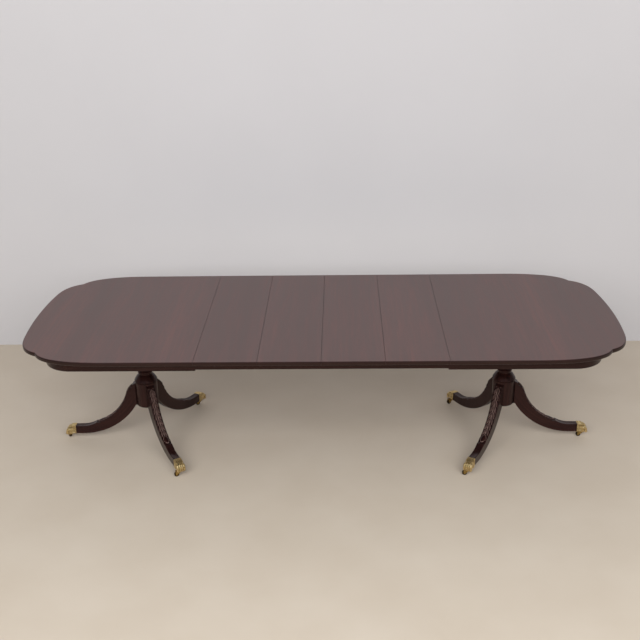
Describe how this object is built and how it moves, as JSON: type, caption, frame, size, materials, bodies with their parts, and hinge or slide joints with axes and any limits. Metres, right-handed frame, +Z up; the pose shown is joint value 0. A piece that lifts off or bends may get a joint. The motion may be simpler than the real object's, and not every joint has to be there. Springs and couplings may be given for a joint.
{
  "type": "double pedestal dining table",
  "caption": "Long mahogany dining table with notched rounded corners, sliding halves and loose leaves, on turned pedestals with sabre legs, brass paw feet and casters.",
  "frame": {"origin": "on the floor under the middle of the top", "axes": "+X along the table to the right end in the picture, +Y to the back, +Z up"},
  "size_m": [3.048, 1.1684, 0.7493],
  "materials": {
    "mahogany": "dark red-brown mahogany under satin lacquer",
    "inner_hardwood": "planed hardwood with a thin wash of stain",
    "cast_brass": "cast brass, polished and a little dulled",
    "wrought_iron": "black forged iron",
    "steel_screws": "plain steel"
  },
  "bodies": {
    "left_half": {"left_apron_corners": "mahogany", "left_back_leg": "mahogany", "left_back_paw": "cast_brass", "left_column": "mahogany", "left_cross_battens": "inner_hardwood", "left_end_apron": "mahogany", "left_front_leg": "mahogany", "left_front_paw": "cast_brass", "left_glue_blocks": "inner_hardwood", "left_leaf_pins": "inner_hardwood", "left_outer_leg": "mahogany", "left_outer_paw": "cast_brass", "left_pedestal_board": "inner_hardwood", "left_side_aprons": "mahogany", "left_slide_rails": "inner_hardwood", "left_spider_plate": "wrought_iron", "left_top": "mahogany", "left_wood_screws": "steel_screws"},
    "right_half": {"right_apron_corners": "mahogany", "right_back_leg": "mahogany", "right_back_paw": "cast_brass", "right_column": "mahogany", "right_cross_battens": "inner_hardwood", "right_end_apron": "mahogany", "right_front_leg": "mahogany", "right_front_paw": "cast_brass", "right_glue_blocks": "inner_hardwood", "right_outer_leg": "mahogany", "right_outer_paw": "cast_brass", "right_pedestal_board": "inner_hardwood", "right_side_aprons": "mahogany", "right_slide_rails": "inner_hardwood", "right_spider_plate": "wrought_iron", "right_top": "mahogany", "right_wood_screws": "steel_screws"},
    "middle_slides": {"middle_slides": "inner_hardwood"},
    "leaf_1": {"leaf_1": "mahogany", "leaf_1_aprons": "mahogany", "leaf_1_pins": "inner_hardwood"},
    "leaf_2": {"leaf_2": "mahogany", "leaf_2_aprons": "mahogany", "leaf_2_pins": "inner_hardwood"},
    "leaf_3": {"leaf_3": "mahogany", "leaf_3_aprons": "mahogany", "leaf_3_pins": "inner_hardwood"},
    "leaf_4": {"leaf_4": "mahogany", "leaf_4_aprons": "mahogany", "leaf_4_pins": "inner_hardwood"},
    "left_outer_caster": {"left_outer_caster_fork": "cast_brass"},
    "left_outer_wheel": {"left_outer_caster_wheel": "cast_brass"},
    "left_front_caster": {"left_front_caster_fork": "cast_brass"},
    "left_front_wheel": {"left_front_caster_wheel": "cast_brass"},
    "left_back_caster": {"left_back_caster_fork": "cast_brass"},
    "left_back_wheel": {"left_back_caster_wheel": "cast_brass"},
    "right_outer_caster": {"right_outer_caster_fork": "cast_brass"},
    "right_outer_wheel": {"right_outer_caster_wheel": "cast_brass"},
    "right_front_caster": {"right_front_caster_fork": "cast_brass"},
    "right_front_wheel": {"right_front_caster_wheel": "cast_brass"},
    "right_back_caster": {"right_back_caster_fork": "cast_brass"},
    "right_back_wheel": {"right_back_caster_wheel": "cast_brass"}
  },
  "joints": [
    {"name": "extension", "type": "slide", "parent": "left_half", "child": "right_half", "axis": [1, 0, 0], "range_m": [0, 0.1]},
    {"name": "middle_slide_run", "type": "slide", "parent": "left_half", "child": "middle_slides", "axis": [1, 0, 0], "range_m": [0, 0.05]},
    {"name": "leaf_1_draw", "type": "slide", "parent": "left_half", "child": "leaf_1", "axis": [1, 0, 0], "range_m": [0, 0.02]},
    {"name": "leaf_2_draw", "type": "slide", "parent": "left_half", "child": "leaf_2", "axis": [1, 0, 0], "range_m": [0, 0.04]},
    {"name": "leaf_3_draw", "type": "slide", "parent": "left_half", "child": "leaf_3", "axis": [1, 0, 0], "range_m": [0, 0.06]},
    {"name": "leaf_4_draw", "type": "slide", "parent": "left_half", "child": "leaf_4", "axis": [1, 0, 0], "range_m": [0, 0.08]},
    {"name": "left_outer_caster_swivel", "type": "hinge", "parent": "left_half", "child": "left_outer_caster", "pos_m": [-1.4297, 0, 0.04], "axis": [0, 0, 1], "continuous": true},
    {"name": "left_outer_wheel_spin", "type": "hinge", "parent": "left_outer_caster", "child": "left_outer_wheel", "pos_m": [-1.44256, 0.01532, 0.013], "axis": [-0.766, -0.6428, 0], "continuous": true},
    {"name": "left_front_caster_swivel", "type": "hinge", "parent": "left_half", "child": "left_front_caster", "pos_m": [-0.7517, -0.39144, 0.04], "axis": [0, 0, 1], "continuous": true},
    {"name": "left_front_wheel_spin", "type": "hinge", "parent": "left_front_caster", "child": "left_front_wheel", "pos_m": [-0.77049, -0.39828, 0.013], "axis": [0.342, -0.9397, 0], "continuous": true},
    {"name": "left_back_caster_swivel", "type": "hinge", "parent": "left_half", "child": "left_back_caster", "pos_m": [-0.7517, 0.39144, 0.04], "axis": [0, 0, 1], "continuous": true},
    {"name": "left_back_wheel_spin", "type": "hinge", "parent": "left_back_caster", "child": "left_back_wheel", "pos_m": [-0.76983, 0.38299, 0.013], "axis": [0.4226, -0.9063, 0], "continuous": true},
    {"name": "right_outer_caster_swivel", "type": "hinge", "parent": "right_half", "child": "right_outer_caster", "pos_m": [1.4297, 0, 0.04], "axis": [0, 0, 1], "continuous": true},
    {"name": "right_outer_wheel_spin", "type": "hinge", "parent": "right_outer_caster", "child": "right_outer_wheel", "pos_m": [1.4097, 0, 0.013], "axis": [0, -1, 0], "continuous": true},
    {"name": "right_front_caster_swivel", "type": "hinge", "parent": "right_half", "child": "right_front_caster", "pos_m": [0.7517, -0.39144, 0.04], "axis": [0, 0, 1], "continuous": true},
    {"name": "right_front_wheel_spin", "type": "hinge", "parent": "right_front_caster", "child": "right_front_wheel", "pos_m": [0.7317, -0.39144, 0.013], "axis": [0, -1, 0], "continuous": true},
    {"name": "right_back_caster_swivel", "type": "hinge", "parent": "right_half", "child": "right_back_caster", "pos_m": [0.7517, 0.39144, 0.04], "axis": [0, 0, 1], "continuous": true},
    {"name": "right_back_wheel_spin", "type": "hinge", "parent": "right_back_caster", "child": "right_back_wheel", "pos_m": [0.73438, 0.38144, 0.013], "axis": [0.5, -0.866, 0], "continuous": true}
  ],
  "couplings": [
    {"joint": "middle_slide_run", "follows": "extension", "ratio": 0.5},
    {"joint": "leaf_1_draw", "follows": "extension", "ratio": 0.2},
    {"joint": "leaf_2_draw", "follows": "extension", "ratio": 0.4},
    {"joint": "leaf_3_draw", "follows": "extension", "ratio": 0.6},
    {"joint": "leaf_4_draw", "follows": "extension", "ratio": 0.8}
  ]
}
